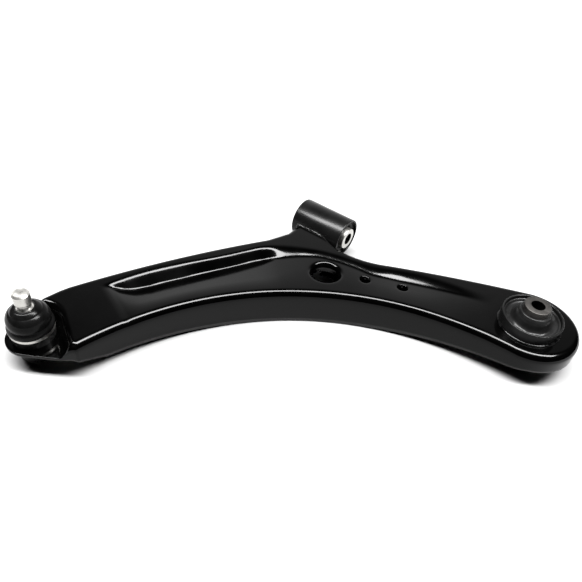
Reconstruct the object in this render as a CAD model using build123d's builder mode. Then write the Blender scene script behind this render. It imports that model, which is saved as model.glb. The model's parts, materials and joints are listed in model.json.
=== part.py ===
"""Front lower control arm of a car: a pressed steel arm with two rubber bushes and a ball joint.

Millimetres. The origin is the centre of the rear bush. +X runs along the arm's pivot axis
to the front bush, +Y runs outboard to the ball joint, and +Z is up.
"""
from build123d import *
from math import cos, hypot, radians, sin, sqrt
import os

# ---------------------------------------------------------------- driving dimensions
REST_Z = -33.0              # plane that the lowest edges stand on
TOP_Z = 10.0                # top face of the pressing
SHEET = 3.0                 # thickness of the pressing
FOLD_R = 7.0                # outside radius of the folded top edge
BEYOND = 5.0                # how far a cutting solid runs past what it cuts
FIT = 0.05                  # radial clearance where a moving piece meets its neighbour

FRONT_X, FRONT_Z = 266.0, 4.0
BALL = (387.0, 335.0)
BALL_Z = -14.0

# centres of the arcs that make the plan outline
REAR_END, REAR_END_R = (-1.7, -5.0), 52.0
NEAR_CENTRE = (-2.5, 382.7)
FAR_CENTRE, FAR_R = (-759.0, 737.5), 1251.0
FAR_START_ANGLE, FAR_MID_ANGLE, FAR_SHOULDER_R = -21.3, -26.0, 60.0
NEAR_MID_ANGLE, NEAR_END_ANGLE = -50.0, -9.5
RIGHT_MID_ANGLE, REAR_MID_ANGLE = -65.5, 180.0
TAB_NEAR_ANGLE, TAB_MID_ANGLE, TAB_FAR_ANGLE = 120.5, 50.0, -9.7
RIGHT_CENTRE = (-604.0, 1502.0)
TAB_R = 27.5
WALL_CORNER, WALL_CORNER_R = (345.0, 341.0), 5.0
EAR_X0, EAR_X1, EAR_END_Y = 257.0, 290.0, 12.0
EAR_SHOULDER, EAR_BEND, EAR_BEND_MID = (245.2, 20.4), (214.0, 29.3), (188.6, 24.6)
EAR_FAR_Y, EAR_FAR_END_Y = 46.0, 72.0
NOTCH_X = 165.0
UNDERCUT_X, UNDERCUT_Y, UNDERCUT_RISE = 236.0, 86.0, 20.0

# side profile of the walls' lower edge, along the chord from the rear bush to the ball joint
REAR_EDGE_Z, REAR_EDGE_END = -11.5, 12.0
FLAT_START, FLAT_END = 215.0, 235.0
TAB_EDGE_Z, TAB_EDGE_START, TAB_EDGE_END = -23.0, 440.0, 468.0

TAB_Z = -7.0                # upper face of the tab that carries the ball joint
# step down to the tab: it bends round the ball joint and runs off along two directions
STEP_TOE_R, STEP_TOP_R = 22.5, 29.0
STEP_SIDES, STEP_REACH = (65.0, 152.8), 130.0
STEP_BACK = 4.0             # how much wider the step is on the underside of the sheet

# stamped dish: angle about NEAR_CENTRE, depth, radius of the toe and radius of the step's top
DISH_NEAR_R = 350.5
DISH_BRIM = 1.0
DISH_STATIONS = (
    (-19.6, 0.3, 397.0, 399.4),
    (-22.8, 8.8, 389.6, 401.4),
    (-27.5, 11.0, 388.5, 402.2),
    (-36.0, 11.0, 392.4, 403.2),
    (-44.2, 10.6, 403.8, 415.0),
    (-49.3, 4.9, 401.0, 413.0),
    (-54.0, 2.8, 398.0, 404.5),
    (-60.5, 2.8, 380.0, 392.5),
    (-69.6, 5.0, 382.6, 394.0),
    (-77.0, 0.3, 386.4, 392.3),
)

BIG_HOLE, BIG_HOLE_R, BIG_HOLE_ROLL = (213.0, 75.0), 16.0, 5.0
BIG_HOLE_LIP_Z = -5.0
SMALL_HOLES, SMALL_HOLE_R = ((172.0, 55.0), (133.0, 37.0)), 6.0

PLATE_T = 2.5               # lower closing plate
PLATE_LIFT = 4.0            # height of the plate above the walls' lower edges
PLATE_HOLE_R, PLATE_HOLE_END = 14.0, (225.0, 56.0)
SEAM_SIZE = 2.4             # weld bead between the plate and the walls
SEAM_START, SEAM_END = 70.0, 420.0

# front bush, axis along X
TUBE_R, TUBE_WALL, TUBE_LEN = 24.0, 2.5, 68.0
TUBE_LIP_R = 1.6
FRONT_OUTER_WALL, FRONT_OUTER_LEN = 1.5, 62.0
FRONT_RUBBER_LEN, RUBBER_DIP = 60.0, 1.5
FRONT_SLEEVE_R, FRONT_SLEEVE_LEN = 13.0, 72.0
FRONT_BORE_R = 7.25
SLEEVE_CHAMFER = 1.0
EAR_WELD = 2.6

# rear bush, axis along Z
CUP_R, CUP_WALL, CUP_HALF = 32.0, 2.0, 24.0
CUP_WELD = 2.6
REAR_SLEEVE_R, REAR_SLEEVE_TOP_Z, REAR_BORE_R = 13.9, 38.0, 7.2
RUBBER_FACE_Z, RUBBER_RIM_Z = 18.0, 20.5
HUB_LOW_R, HUB_TOP_R, HUB_TOP_Z = 20.0, 16.0, 31.0

# ball joint, axis along Z through the ball
HOUSING_R, HOUSING_BODY_R, SPIGOT_R = 21.0, 18.5, 18.0
HOUSING_BOTTOM_Z, HOUSING_SHOULDER_Z, HOUSING_TOP_Z = -29.6, 2.0, 5.0
SOCKET_R, THROAT_R, MOUTH_R = 15.5, 12.4, 16.2
THROAT_LOW_Z, THROAT_Z = -7.8, -4.0
COVER_T, COVER_DOME = 2.5, 1.0
SPRING_T = 1.5
BALL_R, BALL_FLAT_Z = 11.5, -22.0
NECK_R, SHANK_R, GROOVE_R = 6.5, 8.2, 6.8
NECK_END_Z, SHANK_START_Z = 6.0, 12.0
STUD_TOP_Z, HEAD_LEN, GROOVE_LEN, HEAD_CHAMFER = 50.0, 11.5, 7.0, 1.8
RING_R, RING_WALL, RING_H = 21.8, 2.0, 3.0
BOOT_T, BOOT_MOUTH_R, BOOT_TOP_R, BOOT_TOP_Z = 2.2, 9.4, 11.5, 31.5
# points of the boot's section that its two skins pass through, as (radius, height)
BOOT_OUTSIDE = ((22.4, 8.4), (20.8, 13.0), (21.0, 17.0), (19.4, 23.4), (16.0, 27.4))
BOOT_INSIDE = ((13.9, 25.8), (17.3, 22.0), (18.8, 17.0), (18.6, 13.0), (20.0, 8.6))
UPPER_RING_H = 3.5
CIRCLIP_T, CIRCLIP_R, CIRCLIP_SEAT_R, CIRCLIP_GAP = 1.8, 20.6, 17.0, 10.0

CHORD = hypot(*BALL)
CHORD_DIR = (BALL[0] / CHORD, BALL[1] / CHORD, 0)
SIDE = Plane(origin=(0, 0, 0), x_dir=CHORD_DIR, z_dir=(CHORD_DIR[1], -CHORD_DIR[0], 0))
ACROSS, BEHIND, AHEAD = 260.0, -150.0, 620.0    # reach of a cut across and along the chord

PLAN_UNDER = Plane.XY.offset(REST_Z - BEYOND)
TUBE_START = Plane(origin=(FRONT_X - TUBE_LEN / 2, 0, FRONT_Z), x_dir=(0, 1, 0), z_dir=(1, 0, 0))
REAR_PROFILE = Plane.XZ
FRONT_PROFILE = Plane(origin=(FRONT_X, 0, FRONT_Z), x_dir=(1, 0, 0), z_dir=(0, -1, 0))
FRONT_AXIS = Axis((FRONT_X, 0, FRONT_Z), (1, 0, 0))
BALL_PROFILE = Plane(origin=(*BALL, 0), x_dir=(1, 0, 0), z_dir=(0, -1, 0))
BALL_AXIS = Axis((*BALL, 0), (0, 0, 1))

os.makedirs("parts", exist_ok=True)


def gap(a, b):
    return hypot(a[0] - b[0], a[1] - b[1])


def polar(centre, radius, angle):
    return (centre[0] + radius * cos(radians(angle)), centre[1] + radius * sin(radians(angle)))


def towards(start, end, distance):
    share = distance / gap(start, end)
    return (start[0] + (end[0] - start[0]) * share, start[1] + (end[1] - start[1]) * share)


def save(piece, name):
    piece.label = name
    export_step(piece, f"parts/{name}.step")


def turned(profile, plane, axis):
    """A solid of revolution from points given as (along the plane's x, along its y)."""
    with BuildPart() as body:
        with BuildSketch(plane):
            Polygon(*profile, align=None)
        revolve(axis=axis)
    return body


# ---------------------------------------------------------------- plan outline of the pressing
near_r = gap(NEAR_CENTRE, REAR_END) - REAR_END_R
right_r = gap(RIGHT_CENTRE, REAR_END) + REAR_END_R
rear_near = towards(REAR_END, NEAR_CENTRE, REAR_END_R)
rear_far = towards(REAR_END, RIGHT_CENTRE, -REAR_END_R)
far_start = polar(FAR_CENTRE, FAR_R, FAR_START_ANGLE)
tab_far = polar(BALL, TAB_R, TAB_FAR_ANGLE)
tab_near = polar(BALL, TAB_R, TAB_NEAR_ANGLE)
near_end = polar(NEAR_CENTRE, near_r, NEAR_END_ANGLE)
far_end = (FAR_CENTRE[0] + sqrt(FAR_R**2 - (EAR_FAR_END_Y - FAR_CENTRE[1]) ** 2), EAR_FAR_END_Y)
notch = (NOTCH_X, RIGHT_CENTRE[1] - sqrt(right_r**2 - (NOTCH_X - RIGHT_CENTRE[0]) ** 2))

with BuildSketch() as plan:
    with BuildLine():
        ThreePointArc(rear_near, polar(NEAR_CENTRE, near_r, NEAR_MID_ANGLE), near_end)
        Line(near_end, WALL_CORNER)
        Line(WALL_CORNER, tab_near)
        ThreePointArc(tab_near, polar(BALL, TAB_R, TAB_MID_ANGLE), tab_far)
        Line(tab_far, far_start)
        ThreePointArc(far_start, polar(FAR_CENTRE, FAR_R, FAR_MID_ANGLE), far_end)
        Polyline(far_end, (EAR_X1, EAR_FAR_Y), (EAR_X1, EAR_END_Y), (EAR_X0, EAR_END_Y), EAR_SHOULDER)
        TangentArc(EAR_SHOULDER, EAR_BEND, tangent=(EAR_SHOULDER[0] - EAR_X0, EAR_SHOULDER[1] - EAR_END_Y))
        ThreePointArc(EAR_BEND, EAR_BEND_MID, notch)
        ThreePointArc(notch, polar(RIGHT_CENTRE, right_r, RIGHT_MID_ANGLE), rear_far)
        ThreePointArc(rear_far, polar(REAR_END, REAR_END_R, REAR_MID_ANGLE), rear_near)
    make_face()
    fillet(plan.vertices().sort_by_distance(WALL_CORNER)[0], radius=WALL_CORNER_R)
    fillet(plan.vertices().sort_by_distance(far_start)[0], radius=FAR_SHOULDER_R)

with BuildSketch() as plan_inside:
    add(plan.sketch)
    offset(amount=-SHEET, kind=Kind.INTERSECTION)

with BuildSketch() as seam_band:
    add(plan_inside.sketch)
    offset(amount=-SEAM_SIZE, kind=Kind.INTERSECTION, mode=Mode.SUBTRACT)


# ---------------------------------------------------------------- solids that shape the pressing
def below_edge(lift, tab_under_z):
    """Everything under the walls' lower edge raised by lift, and under the tab at tab_under_z."""
    flat_z = REST_Z + lift
    rear_z = REAR_EDGE_Z + lift
    tab_z = TAB_EDGE_Z + lift
    with BuildPart() as under:
        with BuildSketch(SIDE):
            with BuildLine():
                Line((BEHIND, rear_z), (REAR_EDGE_END, rear_z))
                ThreePointArc((REAR_EDGE_END, rear_z),
                              ((FLAT_START + REAR_EDGE_END) / 2, flat_z + (rear_z - flat_z) / 4),
                              (FLAT_START, flat_z))
                Line((FLAT_START, flat_z), (FLAT_END, flat_z))
                ThreePointArc((FLAT_END, flat_z),
                              ((FLAT_END + TAB_EDGE_START) / 2, flat_z + (tab_z - flat_z) / 4),
                              (TAB_EDGE_START, tab_z))
                Polyline((TAB_EDGE_START, tab_z), (TAB_EDGE_END, tab_under_z), (AHEAD, tab_under_z),
                         (AHEAD, REST_Z - BEYOND), (BEHIND, REST_Z - BEYOND), (BEHIND, rear_z))
            make_face()
        extrude(amount=ACROSS, both=True)
    return under.part


def dish(drop):
    """The hollow stamped into the top face; drop lowers it for the underside of the sheet."""
    brim_z = TOP_Z + DISH_BRIM - drop
    with BuildPart() as hollow:
        for angle, depth, toe_r, step_r in DISH_STATIONS:
            section = Plane(origin=(*NEAR_CENTRE, 0), x_dir=(*polar((0, 0), 1, angle), 0),
                            z_dir=(*polar((0, 0), 1, angle - 90), 0))
            with BuildSketch(section):
                Polygon((DISH_NEAR_R, brim_z), (toe_r, TOP_Z - depth - drop), (step_r, brim_z), align=None)
        loft(ruled=True)
    return hollow.part


def recess(floor_z, back):
    """The step from the top face down to the tab; back moves its face away from the ball joint."""
    centres = (BALL, *(polar(BALL, STEP_REACH, side) for side in STEP_SIDES))
    with BuildPart() as drop:
        for z, radius in ((floor_z, STEP_TOE_R + back), (TOP_Z + DISH_BRIM, STEP_TOP_R + back)):
            with BuildSketch(Plane.XY.offset(z)) as floor:
                with Locations(*centres):
                    Circle(radius)
                make_hull(floor.edges())
        loft()
    return drop.part


with BuildPart() as block:
    with BuildSketch(PLAN_UNDER):
        add(plan.sketch)
    extrude(amount=TOP_Z - REST_Z + BEYOND)
    fillet(block.faces().sort_by(Axis.Z)[-1].edges(), radius=FOLD_R)

with BuildPart() as cavity:
    with BuildSketch(PLAN_UNDER):
        add(plan_inside.sketch)
    extrude(amount=TOP_Z - SHEET - REST_Z + BEYOND)
    fillet(cavity.faces().sort_by(Axis.Z)[-1].edges(), radius=FOLD_R - SHEET)
    add(dish(SHEET), mode=Mode.SUBTRACT)
    add(recess(TAB_Z - SHEET, STEP_BACK), mode=Mode.SUBTRACT)

with BuildPart() as tube_space:
    with BuildSketch(TUBE_START.offset(-BEYOND)):
        Circle(TUBE_R)
    extrude(amount=TUBE_LEN + 2 * BEYOND)

with BuildPart() as ear_undercut:
    with BuildSketch(Plane.YZ.offset(UNDERCUT_X)):
        Polygon((0, REST_Z - BEYOND), (UNDERCUT_Y, REST_Z - BEYOND), (UNDERCUT_Y, REST_Z),
                (TUBE_R, REST_Z + UNDERCUT_RISE), (0, REST_Z + UNDERCUT_RISE), align=None)
    extrude(amount=TUBE_LEN)

# ---------------------------------------------------------------- pressed arm
with BuildPart() as upper_shell:
    add(block.part)
    add(cavity.part, mode=Mode.SUBTRACT)
    with Locations((*BIG_HOLE, BIG_HOLE_LIP_Z)):
        Cylinder(BIG_HOLE_R + SHEET, TOP_Z - BIG_HOLE_ROLL - BIG_HOLE_LIP_Z,
                 align=(Align.CENTER, Align.CENTER, Align.MIN))
    with Locations((*BIG_HOLE, TOP_Z - BIG_HOLE_ROLL)):
        Cone(BIG_HOLE_R + SHEET, BIG_HOLE_R + BIG_HOLE_ROLL, BIG_HOLE_ROLL - SHEET / 2,
             align=(Align.CENTER, Align.CENTER, Align.MIN))
    add(dish(0), mode=Mode.SUBTRACT)
    add(recess(TAB_Z, 0), mode=Mode.SUBTRACT)
    with Locations(BIG_HOLE):
        Cylinder(BIG_HOLE_R, 4 * TOP_Z, mode=Mode.SUBTRACT)
    with Locations((*BIG_HOLE, TOP_Z)):
        Cone(BIG_HOLE_R, BIG_HOLE_R + BIG_HOLE_ROLL, BIG_HOLE_ROLL,
             align=(Align.CENTER, Align.CENTER, Align.MAX), mode=Mode.SUBTRACT)
    with Locations(*SMALL_HOLES):
        Cylinder(SMALL_HOLE_R, 4 * TOP_Z, mode=Mode.SUBTRACT)
    Cylinder(CUP_R, 4 * TOP_Z, mode=Mode.SUBTRACT)
    with Locations((*BALL, TAB_Z)):
        Cylinder(HOUSING_BODY_R, 4 * SHEET, mode=Mode.SUBTRACT)
    add(below_edge(0, TAB_Z - SHEET), mode=Mode.SUBTRACT)
    add(ear_undercut.part, mode=Mode.SUBTRACT)
    add(tube_space.part, mode=Mode.SUBTRACT)
save(upper_shell.part, "upper_shell")

with BuildPart() as lower_plate:
    with BuildSketch(PLAN_UNDER):
        add(plan_inside.sketch)
    extrude(amount=TOP_Z - REST_Z)
    add(below_edge(PLATE_LIFT + PLATE_T, TAB_Z - SHEET), mode=Mode.INTERSECT)
    add(below_edge(PLATE_LIFT, TAB_Z - SHEET - PLATE_T), mode=Mode.SUBTRACT)
    add(ear_undercut.part, mode=Mode.SUBTRACT)
    with BuildSketch(PLAN_UNDER) as access:
        with Locations(BIG_HOLE, PLATE_HOLE_END):
            Circle(PLATE_HOLE_R)
        make_hull(access.edges())
    extrude(amount=4 * TOP_Z, mode=Mode.SUBTRACT)
    Cylinder(CUP_R, 4 * ACROSS, mode=Mode.SUBTRACT)
    with Locations(BALL):
        Cylinder(HOUSING_BODY_R, 4 * ACROSS, mode=Mode.SUBTRACT)
save(lower_plate.part, "lower_plate")

# ---------------------------------------------------------------- welds
with BuildPart() as seams:
    with BuildSketch(PLAN_UNDER):
        add(seam_band.sketch)
    extrude(amount=TOP_Z - REST_Z)
    add(below_edge(PLATE_LIFT, TAB_Z - SHEET - PLATE_T), mode=Mode.INTERSECT)
    add(below_edge(PLATE_LIFT - SEAM_SIZE, TAB_Z - SHEET - PLATE_T - SEAM_SIZE), mode=Mode.SUBTRACT)
    add(ear_undercut.part, mode=Mode.SUBTRACT)
    with BuildSketch(SIDE):
        with Locations(((SEAM_START + SEAM_END) / 2, 0)):
            Rectangle(SEAM_END - SEAM_START, 4 * CUP_R)
    extrude(amount=ACROSS, both=True, mode=Mode.INTERSECT)

for seam, name in zip(seams.solids().sort_by(Axis.X), ("rear_seam_weld", "near_seam_weld", "far_seam_weld")):
    save(seam, name)

with BuildPart() as ear_weld:
    with BuildSketch(TUBE_START):
        Circle(TUBE_R + EAR_WELD)
        Circle(TUBE_R, mode=Mode.SUBTRACT)
    extrude(amount=TUBE_LEN)
    with Locations(((EAR_X0 + EAR_X1) / 2, TUBE_R, TOP_Z + EAR_WELD)):
        Box(EAR_X1 - EAR_X0 + 2 * EAR_WELD, 2 * TUBE_R, TOP_Z + EAR_WELD - REST_Z - UNDERCUT_RISE,
            align=(Align.CENTER, Align.CENTER, Align.MAX), mode=Mode.INTERSECT)
    add(block.part, mode=Mode.SUBTRACT)
save(ear_weld.part, "ear_weld")

rear_cup_weld = turned([(CUP_R, TOP_Z), (CUP_R + CUP_WELD, TOP_Z), (CUP_R, TOP_Z + CUP_WELD)],
                       REAR_PROFILE, Axis.Z)
save(rear_cup_weld.part, "rear_cup_weld")


# ---------------------------------------------------------------- front bush
def pipe(plane, outer_r, inner_r, length):
    """A tube standing on a plane."""
    with BuildPart() as tube:
        with BuildSketch(plane):
            Circle(outer_r)
            Circle(inner_r, mode=Mode.SUBTRACT)
        extrude(amount=length)
    return tube


def front_end(length):
    """The plane across the front bush's axis where a piece of this length starts."""
    return Plane(origin=(FRONT_X - length / 2, 0, FRONT_Z), x_dir=(0, 1, 0), z_dir=(1, 0, 0))


front_outer_r = TUBE_R - TUBE_WALL
front_rubber_r = front_outer_r - FRONT_OUTER_WALL

with BuildPart() as front_tube:
    add(pipe(TUBE_START, TUBE_R, front_outer_r, TUBE_LEN).part)
    mouths = front_tube.edges().filter_by(GeomType.CIRCLE)
    fillet(mouths.filter_by(lambda edge: edge.radius > front_outer_r + FIT), radius=TUBE_LIP_R)
save(front_tube.part, "front_tube")

front_outer_sleeve = pipe(front_end(FRONT_OUTER_LEN), front_outer_r, front_rubber_r, FRONT_OUTER_LEN)
save(front_outer_sleeve.part, "front_outer_sleeve")

with BuildPart() as front_rubber:
    with BuildSketch(FRONT_PROFILE):
        with BuildLine():
            Line((-FRONT_RUBBER_LEN / 2, FRONT_SLEEVE_R + FIT), (FRONT_RUBBER_LEN / 2, FRONT_SLEEVE_R + FIT))
            rubber_mid_r = (FRONT_SLEEVE_R + front_rubber_r) / 2
            ThreePointArc((FRONT_RUBBER_LEN / 2, FRONT_SLEEVE_R + FIT),
                          (FRONT_RUBBER_LEN / 2 - RUBBER_DIP, rubber_mid_r),
                          (FRONT_RUBBER_LEN / 2, front_rubber_r))
            Line((FRONT_RUBBER_LEN / 2, front_rubber_r), (-FRONT_RUBBER_LEN / 2, front_rubber_r))
            ThreePointArc((-FRONT_RUBBER_LEN / 2, front_rubber_r),
                          (RUBBER_DIP - FRONT_RUBBER_LEN / 2, rubber_mid_r),
                          (-FRONT_RUBBER_LEN / 2, FRONT_SLEEVE_R + FIT))
        make_face()
    revolve(axis=FRONT_AXIS)
save(front_rubber.part, "front_rubber")

with BuildPart() as front_inner_sleeve:
    add(pipe(front_end(FRONT_SLEEVE_LEN), FRONT_SLEEVE_R, FRONT_BORE_R, FRONT_SLEEVE_LEN).part)
    chamfer(front_inner_sleeve.edges().filter_by(GeomType.CIRCLE), length=SLEEVE_CHAMFER)
save(front_inner_sleeve.part, "front_inner_sleeve")

# ---------------------------------------------------------------- rear bush
with BuildPart() as rear_outer_sleeve:
    add(pipe(Plane.XY.offset(-CUP_HALF), CUP_R, CUP_R - CUP_WALL, 2 * CUP_HALF).part)
    fillet(rear_outer_sleeve.edges().group_by(Axis.Z)[-1], radius=CUP_WALL / 2 - FIT)
save(rear_outer_sleeve.part, "rear_outer_sleeve")

with BuildPart() as rear_rubber:
    with BuildSketch(REAR_PROFILE):
        with BuildLine():
            Polyline((CUP_R - CUP_WALL, 0), (CUP_R - CUP_WALL, RUBBER_RIM_Z))
            ThreePointArc((CUP_R - CUP_WALL, RUBBER_RIM_Z),
                          ((CUP_R - CUP_WALL + HUB_LOW_R) / 2, RUBBER_FACE_Z - RUBBER_DIP),
                          (HUB_LOW_R, RUBBER_FACE_Z))
            Line((HUB_LOW_R, RUBBER_FACE_Z), (HUB_TOP_R, HUB_TOP_Z))
            Polyline((HUB_TOP_R, HUB_TOP_Z), (REAR_SLEEVE_R + FIT, HUB_TOP_Z), (REAR_SLEEVE_R + FIT, 0),
                     (CUP_R - CUP_WALL, 0))
        make_face()
        mirror(about=Plane.XZ)
    revolve(axis=Axis.Z)
save(rear_rubber.part, "rear_rubber")

with BuildPart() as rear_inner_sleeve:
    add(pipe(Plane.XY.offset(REST_Z), REAR_SLEEVE_R, REAR_BORE_R, REAR_SLEEVE_TOP_Z - REST_Z).part)
    chamfer(rear_inner_sleeve.edges().filter_by(GeomType.CIRCLE), length=SLEEVE_CHAMFER)
save(rear_inner_sleeve.part, "rear_inner_sleeve")

# ---------------------------------------------------------------- ball joint
cover_z = HOUSING_BOTTOM_Z + COVER_T + COVER_DOME
seat_z = cover_z + SPRING_T
circlip_z = TAB_Z - SHEET - PLATE_T

ball_joint_housing = turned(
    [(SOCKET_R, HOUSING_BOTTOM_Z), (HOUSING_BODY_R, HOUSING_BOTTOM_Z),
     (HOUSING_BODY_R, circlip_z - CIRCLIP_T), (CIRCLIP_SEAT_R, circlip_z - CIRCLIP_T),
     (CIRCLIP_SEAT_R, circlip_z), (HOUSING_BODY_R, circlip_z), (HOUSING_BODY_R, TAB_Z),
     (HOUSING_R, TAB_Z), (HOUSING_R, HOUSING_SHOULDER_Z), (SPIGOT_R, HOUSING_SHOULDER_Z),
     (SPIGOT_R, HOUSING_TOP_Z), (MOUTH_R, HOUSING_TOP_Z), (THROAT_R, THROAT_Z),
     (THROAT_R, THROAT_LOW_Z), (SOCKET_R, THROAT_LOW_Z)],
    BALL_PROFILE, BALL_AXIS)
save(ball_joint_housing.part, "ball_joint_housing")

with BuildPart() as housing_circlip:
    with BuildSketch(Plane.XY.offset(circlip_z - CIRCLIP_T)):
        with Locations(BALL):
            Circle(CIRCLIP_R)
            Circle(CIRCLIP_SEAT_R, mode=Mode.SUBTRACT)
        with Locations((BALL[0], BALL[1] + CIRCLIP_R)):
            Rectangle(CIRCLIP_GAP, CIRCLIP_R, mode=Mode.SUBTRACT)
    extrude(amount=CIRCLIP_T)
save(housing_circlip.part, "housing_circlip")

with BuildPart() as ball_seat:
    with Locations((*BALL, (seat_z + THROAT_LOW_Z) / 2)):
        Cylinder(SOCKET_R, THROAT_LOW_Z - seat_z)
    with Locations((*BALL, BALL_Z)):
        Sphere(BALL_R + FIT, mode=Mode.SUBTRACT)
save(ball_seat.part, "ball_seat")

with BuildPart() as seat_spring:
    with Locations((*BALL, cover_z)):
        Cylinder(SOCKET_R, SPRING_T, align=(Align.CENTER, Align.CENTER, Align.MIN))
        Hole(BALL_R / 2)
save(seat_spring.part, "seat_spring")

with BuildPart() as housing_cover:
    with Locations((*BALL, HOUSING_BOTTOM_Z + COVER_DOME)):
        Cylinder(SOCKET_R, COVER_T, align=(Align.CENTER, Align.CENTER, Align.MIN))
    fillet(housing_cover.edges().group_by(Axis.Z)[0], radius=COVER_DOME)
save(housing_cover.part, "housing_cover")

groove_top_z = STUD_TOP_Z - HEAD_LEN
groove_z = groove_top_z - GROOVE_LEN
with BuildPart() as ball_stud:
    with BuildSketch(BALL_PROFILE):
        with BuildLine():
            Polyline((0, BALL_FLAT_Z), (sqrt(BALL_R**2 - (BALL_FLAT_Z - BALL_Z) ** 2), BALL_FLAT_Z))
            ThreePointArc((sqrt(BALL_R**2 - (BALL_FLAT_Z - BALL_Z) ** 2), BALL_FLAT_Z), (BALL_R, BALL_Z),
                          (NECK_R, BALL_Z + sqrt(BALL_R**2 - NECK_R**2)))
            Polyline((NECK_R, BALL_Z + sqrt(BALL_R**2 - NECK_R**2)), (NECK_R, NECK_END_Z),
                     (SHANK_R, SHANK_START_Z), (SHANK_R, groove_z), (GROOVE_R, groove_z + HEAD_CHAMFER),
                     (GROOVE_R, groove_top_z - HEAD_CHAMFER), (SHANK_R, groove_top_z),
                     (SHANK_R, STUD_TOP_Z - HEAD_CHAMFER), (SHANK_R - HEAD_CHAMFER, STUD_TOP_Z),
                     (0, STUD_TOP_Z), (0, BALL_FLAT_Z))
        make_face()
    revolve(axis=BALL_AXIS)
save(ball_stud.part, "ball_stud")

boot_lower_ring = turned(
    [(RING_R - RING_WALL, HOUSING_SHOULDER_Z), (RING_R, HOUSING_SHOULDER_Z),
     (RING_R, HOUSING_SHOULDER_Z + RING_H), (RING_R - RING_WALL, HOUSING_SHOULDER_Z + RING_H)],
    BALL_PROFILE, BALL_AXIS)
save(boot_lower_ring.part, "boot_lower_ring")

upper_ring_z = BOOT_TOP_Z - UPPER_RING_H
boot_upper_ring = turned(
    [(SHANK_R + FIT, upper_ring_z), (BOOT_MOUTH_R, upper_ring_z), (BOOT_MOUTH_R, BOOT_TOP_Z),
     (SHANK_R + FIT, BOOT_TOP_Z)],
    BALL_PROFILE, BALL_AXIS)
save(boot_upper_ring.part, "boot_upper_ring")

ring_in_r = RING_R - RING_WALL
with BuildPart() as dust_boot:
    with BuildSketch(BALL_PROFILE):
        with BuildLine():
            Polyline((SPIGOT_R, HOUSING_TOP_Z + FIT), (SPIGOT_R, HOUSING_SHOULDER_Z),
                     (ring_in_r, HOUSING_SHOULDER_Z), (ring_in_r, HOUSING_TOP_Z + FIT))
            Spline((ring_in_r, HOUSING_TOP_Z + FIT), *BOOT_OUTSIDE, (BOOT_TOP_R, BOOT_TOP_Z))
            Polyline((BOOT_TOP_R, BOOT_TOP_Z), (BOOT_MOUTH_R, BOOT_TOP_Z),
                     (BOOT_MOUTH_R, BOOT_TOP_Z - BOOT_T))
            Spline((BOOT_MOUTH_R, BOOT_TOP_Z - BOOT_T), *BOOT_INSIDE, (SPIGOT_R, HOUSING_TOP_Z + FIT))
        make_face()
    revolve(axis=BALL_AXIS)
save(dust_boot.part, "dust_boot")
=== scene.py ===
"""Looks of the control arm: a smooth pressed shell, moulded rubber, materials, light and camera."""
import json
import math

import bmesh
import bpy
import numpy as np
from mathutils import Matrix, Vector
from mathutils.geometry import delaunay_2d_cdt


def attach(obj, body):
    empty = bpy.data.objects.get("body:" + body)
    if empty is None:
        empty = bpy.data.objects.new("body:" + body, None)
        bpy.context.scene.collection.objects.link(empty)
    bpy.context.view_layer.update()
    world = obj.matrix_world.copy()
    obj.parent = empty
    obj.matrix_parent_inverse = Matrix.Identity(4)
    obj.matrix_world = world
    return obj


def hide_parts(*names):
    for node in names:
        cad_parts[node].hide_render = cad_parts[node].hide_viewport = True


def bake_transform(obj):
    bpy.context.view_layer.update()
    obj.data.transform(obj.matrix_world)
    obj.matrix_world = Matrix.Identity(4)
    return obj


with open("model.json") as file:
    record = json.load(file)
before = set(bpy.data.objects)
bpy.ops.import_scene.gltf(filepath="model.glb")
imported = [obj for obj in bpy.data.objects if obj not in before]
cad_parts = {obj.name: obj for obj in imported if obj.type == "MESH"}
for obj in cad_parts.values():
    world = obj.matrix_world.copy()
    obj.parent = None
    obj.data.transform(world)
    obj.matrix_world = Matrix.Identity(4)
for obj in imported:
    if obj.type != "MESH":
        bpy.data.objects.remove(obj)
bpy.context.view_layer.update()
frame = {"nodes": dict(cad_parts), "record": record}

MM = 0.001
MERGE_DISTANCE = 1e-6       # metres

# ---------------------------------------------------------------- the frame's main sizes, in mm
REST_Z, TOP_Z, SHEET, FOLD_R = -33.0, 10.0, 3.0, 7.0
FRONT_X, FRONT_Z, TUBE_R, TUBE_LEN = 266.0, 4.0, 24.0, 68.0
BALL = (387.0, 335.0)
CUP_R = 32.0
REAR_END, REAR_END_R = (-1.7, -5.0), 52.0
NEAR_CENTRE, RIGHT_CENTRE = (-2.5, 382.7), (-604.0, 1502.0)
FAR_CENTRE, FAR_R, FAR_START_ANGLE = (-759.0, 737.5), 1251.0, -21.3
TAB_R, TAB_Z = 27.5, -7.0
TAB_FAR_ANGLE, TAB_MID_ANGLE, TAB_NEAR_ANGLE = -9.7, 50.0, 120.5
NEAR_END_ANGLE, REAR_MID_ANGLE = -9.5, 180.0
WALL_CORNER, WALL_CORNER_R, WALL_CORNER_SHARE = (345.0, 341.0), 5.0, 0.6
EAR_X0, EAR_X1, EAR_END_Y = 257.0, 290.0, 12.0
EAR_SHOULDER, EAR_BEND, EAR_BEND_MID = (245.2, 20.4), (214.0, 29.3), (188.6, 24.6)
EAR_FAR_Y, EAR_FAR_END_Y = 46.0, 72.0
NOTCH_X = 165.0
UNDERCUT_X, UNDERCUT_Y, UNDERCUT_RISE = 236.0, 86.0, 20.0
REAR_EDGE_Z, REAR_EDGE_END = -11.5, 12.0
FLAT_START, FLAT_END = 215.0, 235.0
TAB_EDGE_Z, TAB_EDGE_START, TAB_EDGE_END = -23.0, 440.0, 468.0
BIG_HOLE, BIG_HOLE_R, BIG_HOLE_LIP_Z = (213.0, 75.0), 16.5, -5.0
SMALL_HOLES, SMALL_HOLE_R = ((172.0, 55.0), (133.0, 37.0)), 6.0
HOUSING_BODY_R = 18.5
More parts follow.
